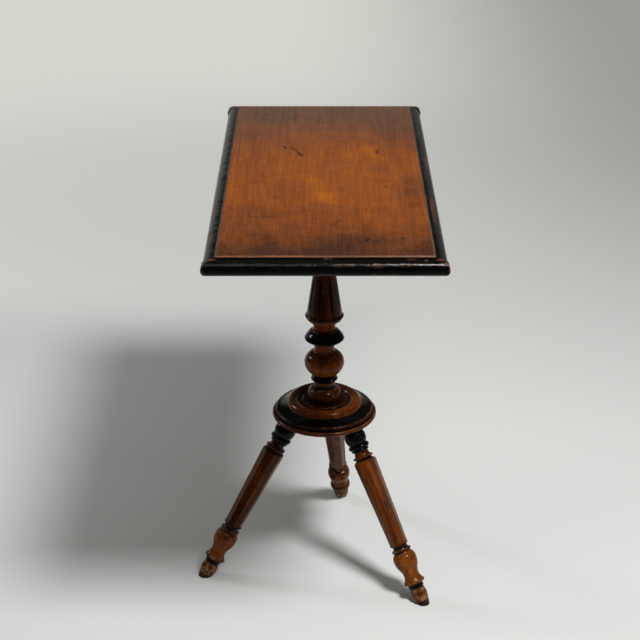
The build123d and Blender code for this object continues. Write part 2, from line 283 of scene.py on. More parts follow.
# %% Hang the lamps and the reflector cards
# Each: direction from the table, distance, width and depth in metres, power in watts,
# colour, and whether it lights the room or only shows in the polish
lamps = {
    "key_lamp": ((0.27, -0.345, 0.70), 2.8, 0.64, 0.64, 87.0, (1.0, 1.0, 1.0), True),
    "left_fill": ((-0.80, 0.34, 0.45), 2.6, 0.48, 0.48, 12.0, (0.96, 0.98, 1.0), True),
    "right_fill": ((0.90, -0.38, 0.20), 2.6, 0.30, 0.30, 2.2, (1.0, 1.0, 1.0), True),
    "right_card": ((0.36, -0.80, 1.95), 2.67, 0.50, 0.70, 60.0, (1.0, 0.93, 0.92), False),
    "left_card": ((-0.45, -0.80, 1.90), 2.65, 1.30, 0.90, 12.0, (0.72, 0.86, 1.0), False),
}
lamp_target = Vector((0.0, 0.0, 0.35))
for name, (direction, distance, width, depth, power, colour, lights_room) in lamps.items():
    lamp_data = bpy.data.lights.new(name, "AREA")
    lamp_data.shape = "ELLIPSE"
    lamp_data.size = width
    lamp_data.size_y = depth
    lamp_data.energy = power
    lamp_data.color = colour
    lamp = bpy.data.objects.new(name, lamp_data)
    lamp.location = lamp_target + Vector(direction).normalized() * distance
    lamp.rotation_euler = (-Vector(direction)).to_track_quat("-Z", "Y").to_euler()
    lamp.visible_diffuse = lights_room
    scene.collection.objects.link(lamp)
    print(name, "at", [round(part, 2) for part in lamp.location])

# %% [markdown]
# ## The room
# The rest of the light comes from the world, which is bright overhead and dim near the
# horizon, as in a studio with a white ceiling. A bright horizon would mirror itself in
# the black edges and turn them grey, so only the wall behind the table is lit, and it
# fades towards the right. The camera sees at least a pale grey everywhere, so that no
# view ends in the dark.

# %% Light the rest from the walls and the ceiling
# Each stop: sine of the height above the horizon, and the light's strength there
room_stops = [(0.00, 0.05), (0.30, 0.05), (0.60, 0.06), (1.00, 0.38)]
wall_light = 0.50
least_shown = 0.34
room_colour = (1.0, 0.99, 0.93, 1)

world = bpy.data.worlds.new("studio")
world.use_nodes = True
room = Recipe(world.node_tree)
right, ahead, up = room.axes(room.node("TexCoord", {}).outputs["Generated"])
ceiling = room.node("FloatCurve", {"Value": up})
curve = ceiling.mapping.curves[0]
while len(curve.points) < len(room_stops):
    curve.points.new(1.0, 1.0)
for point, stop in zip(curve.points, room_stops):
    point.location = stop
    point.handle_type = "VECTOR"
ceiling.mapping.update()

behind_table = room.remap(ahead, 0.3, 0.9)
low_down = room.remap(up, 0.33, 0.25, 0.0, wall_light)
from_left = room.remap(right, 0.6, -0.5, 0.3, 1.0)
wall = room.times(behind_table, low_down, from_left)
shown = room.times(room.node("LightPath", {}).outputs["Is Camera Ray"], least_shown)
strength = room.most(room.plus(ceiling.outputs["Value"], wall), shown)
background = world.node_tree.nodes["Background"]
world.node_tree.links.new(strength, background.inputs["Strength"])
background.inputs["Color"].default_value = room_colour
scene.world = world
print("light from straight above:", room_stops[-1][1])

# %% [markdown]
# ## The figure of timber
# Growth rings show on a board or a turning as long bent lines, and the pores as short
# fine scratches along the grain. A ring texture with one centre looks like a target
# wherever the pith comes near. Here a slow noise, stretched along the grain, is counted
# off in even steps instead. Each step starts a new line, so the lines bend, part and
# close as they do in real wood.

# %% Draw rings and pores
# A step along the grain counts for this share of a step across it, which draws lines out
ring_stretch = 0.07
pore_stretch = 0.025


def along_grain(coat, place, seed, stretch):
    """The place stretched along Z, slanted so that no seam of a noise runs square across."""
    x, y, z = coat.axes(place)
    slant = coat.plus(coat.times(x, 0.37), coat.times(y, 0.31), coat.times(z, stretch), seed)
    values = {"X": coat.plus(x, seed), "Y": coat.plus(y, 2 * seed), "Z": slant}
    return coat.node("CombineXYZ", values).outputs[0]


def figure(coat, place, seed, rings=12.0, cloud=20.0):
    """Lines between 0 and 0.5: the fold of a slow noise that is stretched along Z."""
    drawn_out = along_grain(coat, place, seed, ring_stretch)
    slow = coat.noise(drawn_out, cloud, detail=1.0, distortion=0.4)
    return coat.math("PINGPONG", coat.times(slow, rings), 0.5)


def pores(coat, place, seed, width=900.0):
    """Fine noise between 0 and 1, stretched far along Z."""
    drawn_out = along_grain(coat, place, seed, pore_stretch)
    return coat.noise(drawn_out, width, detail=2.0, roughness=0.6)


print("a pore is", round(1 / pore_stretch), "times as long as wide")

# %% [markdown]
# ## The fade of the top
# The panel is a single board. Its polish has faded to gold in the middle and gone dark
# and blotchy near both ends. Such a history can't come from one noise. The colour is a
# field instead: it starts from a table of fades along the board, each broad patch of
# sun or dirt pushes it up or down, and noise breaks the patches up.

# %% Lay broad patches over the board
# Each stop: distance along the board from its middle, and the fade there
board_fades = [
    (-0.350, 0.16),
    (-0.310, 0.14),
    (-0.265, 0.30),
    (-0.205, 0.54),
    (-0.120, 0.62),
    (-0.020, 0.67),
    (0.060, 0.69),
    (0.140, 0.60),
    (0.240, 0.44),
    (0.350, 0.20),
]
# Each patch: middle x and y, half sizes across and along, push towards gold or dark
panel_patches = [
    (0.003, -0.114, 0.022, 0.020, 0.26),
    (0.027, -0.140, 0.022, 0.016, 0.14),
    (-0.006, -0.084, 0.040, 0.050, 0.18),
    (-0.026, -0.042, 0.024, 0.026, 0.18),
    (0.052, -0.020, 0.070, 0.070, 0.10),
    (0.070, 0.092, 0.034, 0.044, 0.16),
    (0.128, -0.080, 0.024, 0.060, -0.26),
    (0.112, 0.215, 0.050, 0.100, -0.16),
    (0.120, 0.020, 0.030, 0.060, -0.10),
    (-0.095, -0.180, 0.045, 0.026, -0.14),
    (-0.120, 0.120, 0.030, 0.140, -0.08),
    (-0.070, 0.260, 0.060, 0.060, -0.08),
    (0.060, -0.283, 0.050, 0.026, -0.18),
    (-0.040, -0.330, 0.120, 0.026, -0.16),
    (-0.125, -0.300, 0.028, 0.040, 0.14),
    (0.130, -0.300, 0.026, 0.050, 0.08),
    (-0.141, -0.060, 0.014, 0.240, 0.08),
]
print("patches on the board:", len(panel_patches))
print("least and most fade:", *(pick(fade for _, fade in board_fades) for pick in (min, max)))

# %% Draw a soft oval and bend it
patch_wander = 0.07


def oval(coat, place, middle, halves, heading=0.0, core=0.0):
    """1 in the core of an oval, easing to 0 at its rim."""
    rotation = (0, 0, math.radians(heading))
    local = coat.seen_from(place, (*middle, 0), rotation, (*halves, 1))
    return coat.remap(coat.length(coat.stretched(local, scale=(1, 1, 0))), 1.0, core)


def bent_place(coat, place):
    """The place pushed about by a few centimetres, which makes a patch ragged."""
    wander = coat.node("TexNoise", {"Vector": place, "Scale": 18.0, "Detail": 4.0})
    halfway = {0: wander.outputs["Color"], 1: (0.5, 0.5, 0.5)}
    shift = coat.node("VectorMath", halfway, operation="SUBTRACT").outputs[0]
    shift = coat.node("VectorMath", {0: shift, 3: patch_wander}, operation="SCALE").outputs[0]
    return coat.node("VectorMath", {0: place, 1: shift}, operation="ADD").outputs[0]


print("a patch is bent by up to", patch_wander / 2, "metres")

# %% Work out how far the polish has faded at each place
# An oval fades out towards its rim, so it is drawn larger than it looks by this factor
patch_softness = 1.6


def board_field(coat, place, grain_place):
    """The fade of the polish, about 0 under grime and 1 in full sun."""
    bent = bent_place(coat, place)
    low, high = board_fades[0][0], board_fades[-1][0]
    from_front = coat.math("SUBTRACT", coat.axes(bent)[1], low)
    share = coat.math("DIVIDE", from_front, high - low)
    stops = [((where - low) / (high - low), (fade, fade, fade)) for where, fade in board_fades]
    field = coat.ramp(share, stops, "B_SPLINE")
    cloud = coat.noise(coat.stretched(place, scale=(1, 0.6, 1)), 16, detail=5, roughness=0.6)
    mottle = coat.noise(coat.stretched(place, scale=(0.8, 1.3, 1)), 60, detail=3)
    streak = coat.noise(along_grain(coat, grain_place, 4.4, 0.03), 240, detail=3)
    for layer, reach in ((cloud, 0.09), (mottle, 0.05), (streak, 0.05)):
        field = coat.plus(field, coat.remap(layer, 0.3, 0.7, -reach, reach))
    for x, y, half_x, half_y, push in panel_patches:
        patch = oval(coat, bent, (x, y), (patch_softness * half_x, patch_softness * half_y))
        field = coat.plus(field, coat.times(patch, push))
    return field


print("a patch is drawn", patch_softness, "times its size")

# %% Turn the fade into the colour of the polish
# Each stop: fade, and the colour of the polish there
polish_colours = [
    (0.00, (0.042, 0.014, 0.007)),
    (0.22, (0.086, 0.025, 0.006)),
    (0.42, (0.147, 0.038, 0.008)),
    (0.62, (0.200, 0.050, 0.007)),
    (0.80, (0.246, 0.061, 0.004)),
    (1.00, (0.310, 0.084, 0.003)),
]
# Painted sheen: the grey that the far end of the polish mirrors, put into its colour
painted_sheen_colour = (0.145, 0.092, 0.060)


def board_polish(coat, place, grain_place, fine, speck):
    """Faded polish over the figure, with a painted grey sheen towards the far end."""
    polish = coat.ramp(board_field(coat, place, grain_place), polish_colours)
    # Painted sheen: the colour turns grey towards the far end, where the polish mirrors the wall
    painted_sheen = coat.remap(coat.axes(place)[1], 0.08, 0.36, 0.0, 0.40)
    polish = coat.mix(painted_sheen, polish, painted_sheen_colour)
    lines = figure(coat, grain_place, 3.1, rings=34, cloud=9)
    tone = coat.plus(
        coat.remap(lines, 0.0, 0.5, 0.91, 1.05),
        coat.remap(fine, 0.35, 0.65, -0.13, 0.10),
        coat.remap(speck, 0.35, 0.65, -0.15, 0.10),
    )
    grey = coat.node("CombineColor", {"Red": tone, "Green": tone, "Blue": tone}).outputs[0]
    return coat.mix(1.0, polish, grey, "MULTIPLY")


print("the palest polish:", polish_colours[-1][1])

# %% [markdown]
# ## Marks and bare edges on the top
# A painted image could hold the marks of use, but a list of small dark ovals is easier to
# change: each has its own place, length, width and heading. Noise thins them out, so
# that none looks printed. The arris round the board has lost its polish to sleeves and
# dusters. It is found by its height, because it lies a fraction of a millimetre below
# the flat. Beside the front arris the polish has worn to a thin golden strip.

# %% List the marks of use
# Each mark: middle x and y, half length and half width, heading in degrees, strength
panel_marks = [
    (-0.0650, 0.1170, 0.0080, 0.0020, 112, 0.85),
    (-0.0500, 0.1080, 0.0140, 0.0016, 116, 0.85),
    (-0.0400, 0.0850, 0.0130, 0.0020, 110, 0.90),
    (-0.0365, 0.0760, 0.0050, 0.0022, 95, 0.95),
    (0.0860, 0.0950, 0.0090, 0.0022, 85, 0.85),
    (0.0890, 0.1080, 0.0040, 0.0012, 60, 0.50),
    (0.0930, -0.0730, 0.0040, 0.0022, 80, 0.60),
    (-0.0740, -0.1160, 0.0050, 0.0030, 20, 0.50),
    (-0.0100, -0.0530, 0.0045, 0.0010, 5, 0.60),
    (0.0260, -0.0840, 0.0070, 0.0035, 60, 0.30),
    (-0.1050, -0.1960, 0.0110, 0.0020, 160, 0.45),
    (-0.0820, -0.1980, 0.0110, 0.0018, 10, 0.60),
    (0.0160, -0.2220, 0.0050, 0.0130, 150, 0.40),
    (-0.0990, -0.2680, 0.0080, 0.0045, 30, 0.45),
    (-0.0770, -0.3010, 0.0110, 0.0060, 10, 0.50),
    (-0.0760, -0.2780, 0.0070, 0.0030, 140, 0.35),
    (0.0590, -0.2870, 0.0080, 0.0026, 70, 0.90),
    (0.0740, -0.2920, 0.0060, 0.0025, 60, 0.50),
    (0.1090, -0.2820, 0.0050, 0.0034, 15, 0.65),
    (0.0840, -0.2680, 0.0160, 0.0012, 8, 0.35),
    (-0.0470, 0.2870, 0.0060, 0.0040, 30, 0.40),
    (-0.0150, -0.2020, 0.0050, 0.0020, 70, 0.35),
    (0.0330, 0.0200, 0.0050, 0.0020, 100, 0.30),
]
print("marks on the board:", len(panel_marks))

# %% Darken the polish at the marks
# How much larger an oval is drawn than it looks, along its length and across it
mark_softness = (1.3, 2.0)
mark_core = 0.45
mark_colour = (0.010, 0.005, 0.004)


def board_marked(coat, place, speck):
    """How far the marks of use darken the polish."""
    marked = 0.0
    for x, y, half_long, half_wide, heading, strength in panel_marks:
        halves = (mark_softness[0] * half_long, mark_softness[1] * half_wide)
        mark = oval(coat, place, (x, y), halves, heading, mark_core)
        marked = coat.most(coat.times(mark, strength), marked)
    return coat.times(marked, coat.remap(speck, 0.3, 0.6, 0.55, 1.0))


print("the deepest mark:", max(strength for *_, strength in panel_marks))

# %% Rub the arris bare
panel_low, panel_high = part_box("top_panel")
# Distances in metres at which a wear starts and is full: on the arris below the flat,
# towards the ends of the board, and in the golden strip behind the front edge
arris_depths = (0.00015, 0.0004)
barest_from_ends = (0.006, 0.003)
strip_from_front = (0.010, 0.006)
golden_colour = (0.26, 0.075, 0.004)
bare_colours = ((0.20, 0.056, 0.007), (0.12, 0.034, 0.005))
pale_bare_colour = (0.20, 0.12, 0.08)


def golden_strip(coat, place):
    """How far the polish has worn to gold beside the front arris, most of all on the left."""
    x, y = coat.axes(place)[:2]
    ragged = coat.remap(coat.noise(place, 70, detail=3), 0.3, 0.7, -0.002, 0.002)
    outer, inner = (panel_low.y + reach for reach in strip_from_front)
    near_front = coat.remap(coat.plus(y, ragged), outer, inner, 0.0, 0.75)
    return coat.times(near_front, coat.remap(x, 0.10, -0.04, 0.25, 1.0))


def arris_rubbed(coat, place):
    """How far the polish is gone from the arris, less on the long sides than at the ends."""
    y, z = coat.axes(place)[1:]
    below_flat = coat.remap(z, *(panel_high.z - depth for depth in arris_depths))
    near, far = (panel_high.y - reach for reach in barest_from_ends)
    at_ends = coat.remap(coat.math("ABSOLUTE", y), near, far, 0.55, 1.0)
    return coat.times(below_flat, at_ends)


def bare_wood(coat, place, grain_place):
    """Wood without polish, golden on the left and greyer in places towards the right."""
    bare = coat.mix(coat.noise(grain_place, 60, detail=4), *bare_colours)
    greyer = coat.remap(coat.noise(place, 45), 0.35, 0.6, 0.1, 0.6)
    greyer = coat.times(coat.remap(coat.axes(place)[0], 0.02, 0.13), greyer)
    return coat.mix(greyer, bare, pale_bare_colour)


print("board in metres:", [round(part, 4) for part in panel_high - panel_low])

# %% Put the coats of the board together
# Lower than on real varnish: black stays black under a room that is bright all round
polish_ior = 1.20
quarter_turn = math.radians(90)
# Heights above the underside at which the polish ends and the wood is quite raw
raw_heights = (0.012, 0.006)
raw_board_colours = [(0.3, (0.085, 0.048, 0.028)), (0.7, (0.16, 0.098, 0.06))]


def make_panel_wood():
    """Faded, stained polish on the board, a bare arris and raw wood below."""
    coat = Coat("panel_wood")
    place = coat.place()
    grain_place = coat.seen_from(place, rotation=(quarter_turn, 0, 0))
    fine = pores(coat, grain_place, 1.7, width=480)
    speck = coat.noise(coat.stretched(place, scale=(1.2, 0.7, 1)), 430, detail=3)
    marked = board_marked(coat, place, speck)
    rubbed = arris_rubbed(coat, place)
    colour = board_polish(coat, place, grain_place, fine, speck)
    colour = coat.mix(marked, colour, mark_colour)
    colour = coat.mix(golden_strip(coat, place), colour, golden_colour)
    colour = coat.mix(rubbed, colour, bare_wood(coat, place, grain_place))
    under = coat.remap(coat.axes(place)[2], *(panel_low.z + height for height in raw_heights))
    colour = coat.mix(under, colour, coat.ramp(fine, raw_board_colours))
    gloss = coat.noise(place, 30, detail=4)
    dull = coat.most(coat.times(under, 0.4), coat.times(rubbed, 0.6))
    roughness = coat.plus(coat.remap(gloss, 0.3, 0.7, 0.18, 0.30), coat.times(marked, 0.25))
    roughness = coat.math("ADD", roughness, dull, clamp=True)
    normal = coat.relief((fine, 0.00005), (speck, 0.00002), (gloss, 0.0003), (marked, -0.0003))
    values = {"Base Color": colour, "Roughness": roughness, "Normal": normal}
    values["IOR"] = polish_ior
    return coat.finish(values)


panel_wood = make_panel_wood()
print(panel_wood.name, "with", len(panel_wood.node_tree.nodes), "nodes")

# %% [markdown]
# ## Ebonised mouldings
# The edge mouldings were stained and varnished black. On such a table the black is thin:
# it has rubbed through to red-brown on the corners, is speckled with small chips, and
# its gloss has brush marks. Convex edges are found with an occlusion probe that looks
# into the wood: little wood within a few millimetres means an edge. Knocks that noise
# can't place are listed. A pale line runs along the joint round the panel.

# %% List the knocks on the mouldings
# Each worn spot: its place, its half sizes and how far it shows bare wood
moulding_wear = [
    ((-0.160, -0.352, 0.707), (0.012, 0.004, 0.004), 0.85),
    ((-0.171, -0.353, 0.704), (0.006, 0.010, 0.006), 0.80),
    ((-0.171, -0.362, 0.697), (0.005, 0.005, 0.006), 0.80),
    ((-0.168, -0.362, 0.690), (0.006, 0.006, 0.004), 0.50),
    ((0.158, -0.352, 0.707), (0.007, 0.004, 0.004), 0.85),
    ((0.138, -0.354, 0.707), (0.004, 0.003, 0.003), 0.70),
    ((0.1700, -0.361, 0.696), (0.0036, 0.006, 0.009), 1.00),
    ((0.1660, -0.359, 0.703), (0.0050, 0.004, 0.003), 0.75),
    ((0.173, -0.345, 0.703), (0.004, 0.010, 0.005), 0.45),
    ((0.118, -0.352, 0.7075), (0.010, 0.003, 0.003), 0.35),
    ((0.004, -0.350, 0.7085), (0.010, 0.002, 0.003), 0.75),
    ((0.068, -0.364, 0.6885), (0.008, 0.006, 0.0025), 0.90),
    ((0.095, -0.364, 0.6885), (0.008, 0.006, 0.0025), 0.80),
    ((0.035, -0.364, 0.7040), (0.006, 0.004, 0.003), 0.40),
    ((0.026, -0.363, 0.7025), (0.020, 0.006, 0.0026), 0.16),
    ((0.070, -0.363, 0.7020), (0.016, 0.006, 0.0030), 0.22),
    ((0.108, -0.363, 0.7025), (0.018, 0.006, 0.0026), 0.14),
    ((-0.165, -0.270, 0.7050), (0.004, 0.045, 0.004), 0.80),
    ((-0.164, -0.170, 0.7060), (0.003, 0.030, 0.004), 0.50),
    ((0.160, -0.160, 0.7070), (0.004, 0.070, 0.004), 0.55),
    ((0.165, 0.060, 0.7060), (0.004, 0.050, 0.004), 0.40),
]
print("worn spots on the mouldings:", len(moulding_wear))

# %% Find where the black is worn and where the joint is pale
wear_softness = 1.3
# How far the panel's tongue reaches past the joint into the mouldings
tongue_reach = 0.007
# Distances outwards from the joint at which the pale line starts and is full: on the long
# sides, at the ends, and past the corners
pale_beside = (0.0016, 0.0006)
pale_beyond = (0.0022, 0.0006)
pale_limit = (0.0024, 0.0018)


def moulding_worn(coat, place, chip, drift):
    """How far bare wood shows: chips all over, rubbed edges and the listed spots."""
    by_right_end = coat.remap(coat.axes(place)[0], 0.14, 0.165, 0.0, 0.05)
    more_chips = coat.plus(coat.remap(drift, 0.35, 0.7, 0.0, 0.06), by_right_end)
    chipped = coat.remap(coat.plus(chip, more_chips), 0.71, 0.76)
    edge = coat.plus(coat.arris(0.003), coat.remap(chip, 0.3, 0.7, -0.2, 0.2))
    rubbed = coat.remap(edge, 0.70, 1.0)
    worn = coat.most(coat.times(chipped, 0.7), coat.times(rubbed, 0.6))
    ragged = coat.remap(chip, 0.3, 0.7, -0.5, 0.2)
    for middle, halves, strength in moulding_wear:
        local = coat.seen_from(place, middle, scale=[wear_softness * half for half in halves])
        spot = coat.plus(coat.remap(coat.length(local), 1.0, 0.2), ragged)
        worn = coat.most(coat.times(coat.remap(spot, 0.2, 0.7), strength), worn)
    return worn


def pale_joint(coat, place, chip, drift):
    """How pale the joint round the panel is, less beside it than at its ends."""
    x, y = coat.axes(place)[:2]
    beside = coat.math("SUBTRACT", coat.math("ABSOLUTE", x), panel_high.x - tongue_reach)
    beyond = coat.math("SUBTRACT", coat.math("ABSOLUTE", y), panel_high.y - tongue_reach)
    side_joint = coat.times(coat.remap(beside, *pale_beside), 0.4)
    joint = coat.most(side_joint, coat.remap(beyond, *pale_beyond))
    at_joint = coat.remap(coat.most(beside, beyond), *pale_limit)
    patchy = coat.times(coat.remap(chip, 0.3, 0.6, 0.4, 0.9), coat.remap(drift, 0.3, 0.6, 0.6, 1.0))
    return coat.times(joint, at_joint, patchy)


print("joint from the middle in metres:", round(panel_high.x - tongue_reach, 4))

# %% Put the coats of the mouldings together
moulding_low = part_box("moulding_front")[0].z
# Heights above the underside at which the varnish ends and the wood is quite raw
varnish_ends = (0.0004, 0.0001)
chip_colours = [(0.35, (0.030, 0.008, 0.004)), (0.7, (0.18, 0.052, 0.018))]
ebony_colours = ((0.0005, 0.0005, 0.0008), (0.0022, 0.0018, 0.0018))
pale_joint_colour = (0.085, 0.056, 0.038)
raw_moulding_colours = [(0.3, (0.05, 0.03, 0.02)), (0.7, (0.10, 0.065, 0.045))]


def make_ebonised_wood():
    """Black varnish over red-brown wood, thin on edges, chipped and brushed."""
    coat = Coat("ebonised_wood")
    place = coat.place()
    x, _, z = coat.axes(place)
    chip = coat.noise(place, 420, detail=4, roughness=0.6)
    drift = coat.noise(place, 22, detail=3)
    ripple = coat.noise(place, 85, detail=4, roughness=0.6)
    worn = moulding_worn(coat, place, chip, drift)
    joint_paleness = pale_joint(coat, place, chip, drift)
    colour = coat.mix(worn, coat.mix(drift, *ebony_colours), coat.ramp(chip, chip_colours))
    # A pale, patchy line along the joint round the panel, which is also rougher
    colour = coat.mix(joint_paleness, colour, pale_joint_colour)
    under = coat.remap(z, *(moulding_low + height for height in varnish_ends))
    colour = coat.mix(under, colour, coat.ramp(chip, raw_moulding_colours))
    roughness = coat.plus(coat.remap(ripple, 0.35, 0.65, 0.07, 0.18), coat.times(worn, 0.3))
    roughness = coat.math("ADD", roughness, coat.times(joint_paleness, 0.4), clamp=True)
    strokes = coat.noise(coat.stretched(place, scale=(0.15, 0.15, 1)), 350, detail=3)
    strokes = coat.times(strokes, coat.remap(x, 0.08, -0.08, 0.25, 1.0))
    brushed = coat.times(ripple, coat.remap(x, 0.04, -0.10, 1.0, 3.5))
    normal = coat.relief((brushed, 0.0002), (strokes, 0.0006), (drift, 0.0007), (worn, -0.0002))
    values = {"Base Color": colour, "Roughness": roughness, "Normal": normal}
    values["IOR"] = polish_ior
    return coat.finish(values)


ebonised_wood = make_ebonised_wood()
print(ebonised_wood.name, "with", len(ebonised_wood.node_tree.nodes), "nodes")

# %% [markdown]
# ## Turned wood
# The column, the platform and the legs were finished on the lathe: brown stain and
# polish, with some rings painted black. A mesh could be cut at every ring to give each
# band its own material, but all of this goes round the piece, so a table along its axis
# says it better. Each row says where a band starts, how much black paint it has, how
# far its stain has faded from dark to golden, how worn it is and how much grime it
# holds. A colour ramp with constant steps carries the four numbers at once, in its red,
# green, blue and alpha.


# %% Read paint, fade, wear and grime off a table
def finish_bands(coat, measure, rows):
    """Give paint, fade, wear and grime at a measure; each row holds up to the next one."""
    low = rows[0][0]
    high = rows[-1][0] + (rows[-1][0] - low) / len(rows)
    values = {"Value": measure, "From Min": low, "From Max": high}
    share = coat.node("MapRange", values).outputs["Result"]
    stops = [((start - low) / (high - low), masks) for start, *masks in rows]
    bands = coat.ramp(share, stops, "CONSTANT")
    split = coat.node("SeparateColor", {"Color": bands}).outputs
    return split["Red"], split["Green"], split["Blue"], bands.node.outputs["Alpha"]


def timber_tone(coat, place, seed):
    """How far the figure of a turning lies above or below its fade."""
    moved = coat.stretched(place, offset=(seed, 0, 0), scale=(1, 1, 0.45))
    speckled = coat.stretched(place, offset=(0, seed, 0), scale=(1, 1, 0.5))
    flame = coat.noise(along_grain(coat, place, 3 * seed, 0.12), 170, roughness=0.6)
    return coat.plus(
        coat.remap(figure(coat, place, seed), 0.0, 0.5, -0.06, 0.03),
        coat.remap(pores(coat, place, seed), 0.3, 0.7, -0.07, 0.05),
        coat.remap(coat.noise(moved, 40), 0.3, 0.7, -0.08, 0.08),
        coat.remap(flame, 0.34, 0.66, -0.08, 0.06),
        coat.remap(coat.noise(speckled, 380, detail=2), 0.35, 0.65, -0.06, 0.04),
    )


# %% Mix the colours of a turning
# Each stop: fade, and the colour of the stained timber there
timber_colours = [
    (0.00, (0.0040, 0.0014, 0.0008)),
    (0.18, (0.0200, 0.0045, 0.0012)),
    (0.42, (0.0680, 0.0150, 0.0020)),
    (0.68, (0.1450, 0.0360, 0.0040)),
    (1.00, (0.2900, 0.0930, 0.0150)),
]
smudge_colour = (0.009, 0.0045, 0.003)
# The colour that recesses darken towards
recess_colour = (0.006, 0.0035, 0.0025)
rubbed_colour = (0.24, 0.105, 0.042)
paint_colours = ((0.0008, 0.0008, 0.0010), (0.0042, 0.0030, 0.0026))
print("timber from", timber_colours[0][1], "to", timber_colours[-1][1])


# %% Stain, dirty, rub and paint a turning
def rubbed_through(coat, wear, mottle, chip):
    """How far the finish is gone: in patches where a band is worn, and on every edge."""
    patchy = coat.plus(mottle, coat.times(chip, 0.5))
    rub = coat.times(wear, coat.remap(patchy, 0.66, 0.84, 0.05, 1.2))
    edge = coat.plus(coat.arris(0.002), coat.remap(chip, 0.3, 0.7, -0.15, 0.15))
    return coat.most(coat.remap(edge, 0.60, 1.0, 0.0, 0.5), rub)


def make_turned_wood(name, place_of, measure_of, rows, seed, extra_of):
    """Stained turning with painted bands; extra_of adds paint, painted shade and wear that rows
    can't give.
    """
    coat = Coat(name)
    place = place_of(coat)
    wobble = coat.remap(coat.noise(place, 90, detail=2), 0.2, 0.8, -0.0003, 0.0003)
    measure = coat.plus(measure_of(coat, place), wobble)
    paint, fade, wear, grime = finish_bands(coat, measure, rows)
    extra_paint_and_shade, extra_wear = extra_of(coat, place, measure)
    tone = coat.math("ADD", fade, timber_tone(coat, place, seed), clamp=True)
    mottle = coat.noise(coat.stretched(place, offset=(0, 0, seed)), 85, detail=5, roughness=0.65)
    chip = coat.noise(place, 350, detail=4, roughness=0.6)
    smudge = coat.remap(coat.plus(mottle, coat.times(grime, 0.24)), 0.66, 0.78, 0.0, 0.8)
    # Darker in recesses: the occlusion probe darkens the colour in grooves and corners
    recess_darkening = coat.remap(coat.recess(0.006), 0.25, 0.85)
    rub = rubbed_through(coat, coat.most(wear, extra_wear), mottle, chip)
    missing = coat.most(coat.times(rub, 0.7), coat.remap(chip, 0.69, 0.73, 0.0, 0.5))
    kept = coat.math("SUBTRACT", 1.0, missing)
    # Paint, and on the platform the painted shade at the back of its crest, in the paint's colours
    painted = coat.times(coat.most(paint, extra_paint_and_shade), kept)
    colour = coat.mix(smudge, coat.ramp(tone, timber_colours), smudge_colour)
    colour = coat.mix(coat.times(recess_darkening, 0.85), colour, recess_colour)
    colour = coat.mix(rub, colour, rubbed_colour)
    colour = coat.mix(painted, colour, coat.mix(mottle, *paint_colours))
    gloss = coat.noise(place, 60, detail=3)
    roughness = coat.plus(coat.remap(gloss, 0.3, 0.7, 0.13, 0.23), coat.times(recess_darkening, 0.35))
    roughness = coat.math("SUBTRACT", roughness, coat.times(painted, 0.06))
    normal = coat.relief((pores(coat, place, seed), 0.00005), (gloss, 0.0004), (painted, 0.00008))
    values = {"Base Color": colour, "Roughness": roughness, "Normal": normal}
    values["IOR"] = polish_ior
    print(name, "with", len(rows), "bands")
    return coat.finish(values)


# %% [markdown]
# ## The column
# The column's table runs up its height in metres. The flutes in its cone are painted
# too, but they run along the axis, so no band can hold them. They are found by their
# depth instead: a point on the cone that lies closer to the axis than the cone's own
# surface is in a flute.

# %% Write down the column's bands
# Each row: height where it starts, then paint, fade, wear and grime
column_rows = [
    (0.3100, 0.0, 0.10, 0.0, 0.0),
    (0.3122, 0.0, 0.44, 0.0, 0.1),
    (0.3302, 0.0, 0.34, 0.5, 0.0),
    (0.3321, 0.0, 0.05, 0.0, 0.0),
    (0.3385, 0.0, 0.62, 0.0, 0.0),
    (0.3447, 1.0, 0.00, 0.0, 0.0),
    (0.3562, 0.0, 0.68, 0.0, 0.0),
    (0.3740, 0.0, 0.64, 0.0, 0.2),
    (0.3850, 0.0, 0.53, 0.0, 0.5),
    (0.3965, 0.0, 0.56, 0.0, 0.1),
    (0.4142, 1.0, 0.00, 0.0, 0.0),
    (0.4346, 0.0, 0.26, 0.3, 0.0),
    (0.4367, 0.0, 0.16, 0.0, 0.4),
    (0.4388, 0.0, 0.56, 0.0, 0.1),
    (0.4530, 0.0, 0.56, 0.3, 0.0),
    (0.4586, 0.0, 0.00, 0.0, 0.0),
    (0.4600, 0.0, 0.25, 0.0, 0.1),
    (0.4668, 0.0, 0.26, 0.0, 0.0),
    (0.5370, 0.0, 0.20, 0.0, 0.0),
]
print("painted bands on the column:", sum(row[1] > 0 for row in column_rows))


# %% Measure along an axis and out from it
def upright(coat):
    """The place as it is, for a piece whose axis is the table's own."""
    return coat.place()


def measure_height(coat, place):
    """Height above the floor, or along the axis of a piece that leans."""
    return coat.axes(place)[2]


def measure_radius(coat, place):
    """Distance from the column's axis."""
    return coat.length(coat.stretched(place, scale=(1, 1, 0)))


# %% Paint the flutes and finish the column
# The cone's surface: its foot's height and radius, its length, and how much it narrows
# per metre
cone_foot_height = 0.4668
cone_foot_radius = 0.0290
cone_length = 0.0701
cone_narrowing = 0.148
# Depths below the cone's surface at which a flute's paint starts and is full
flute_depths = (0.0002, 0.0006)


def flutes(coat, place, measure):
    """Paint in the flutes, which lie deeper than the cone's own surface, and no wear."""
    above = coat.math("SUBTRACT", measure_height(coat, place), cone_foot_height)
    surface = coat.math("SUBTRACT", cone_foot_radius, coat.times(above, cone_narrowing))
    depth = coat.math("SUBTRACT", surface, measure_radius(coat, place))
    below_top = coat.remap(above, cone_length, cone_length - 0.0011)
    on_cone = coat.times(coat.remap(above, 0.0, 0.002), below_top)
    return coat.times(coat.remap(depth, *flute_depths), on_cone), 0.0


column_wood = make_turned_wood(
    "column_wood", upright, measure_height, column_rows, 0.7, flutes
)

# %% [markdown]
# ## The platform
# The platform's table runs out from the axis instead of up it, because its bands are
# rings on a disc. Below the disc's top edge five times the depth is added to the
# radius, so that the bands of the rim have rows of their own.

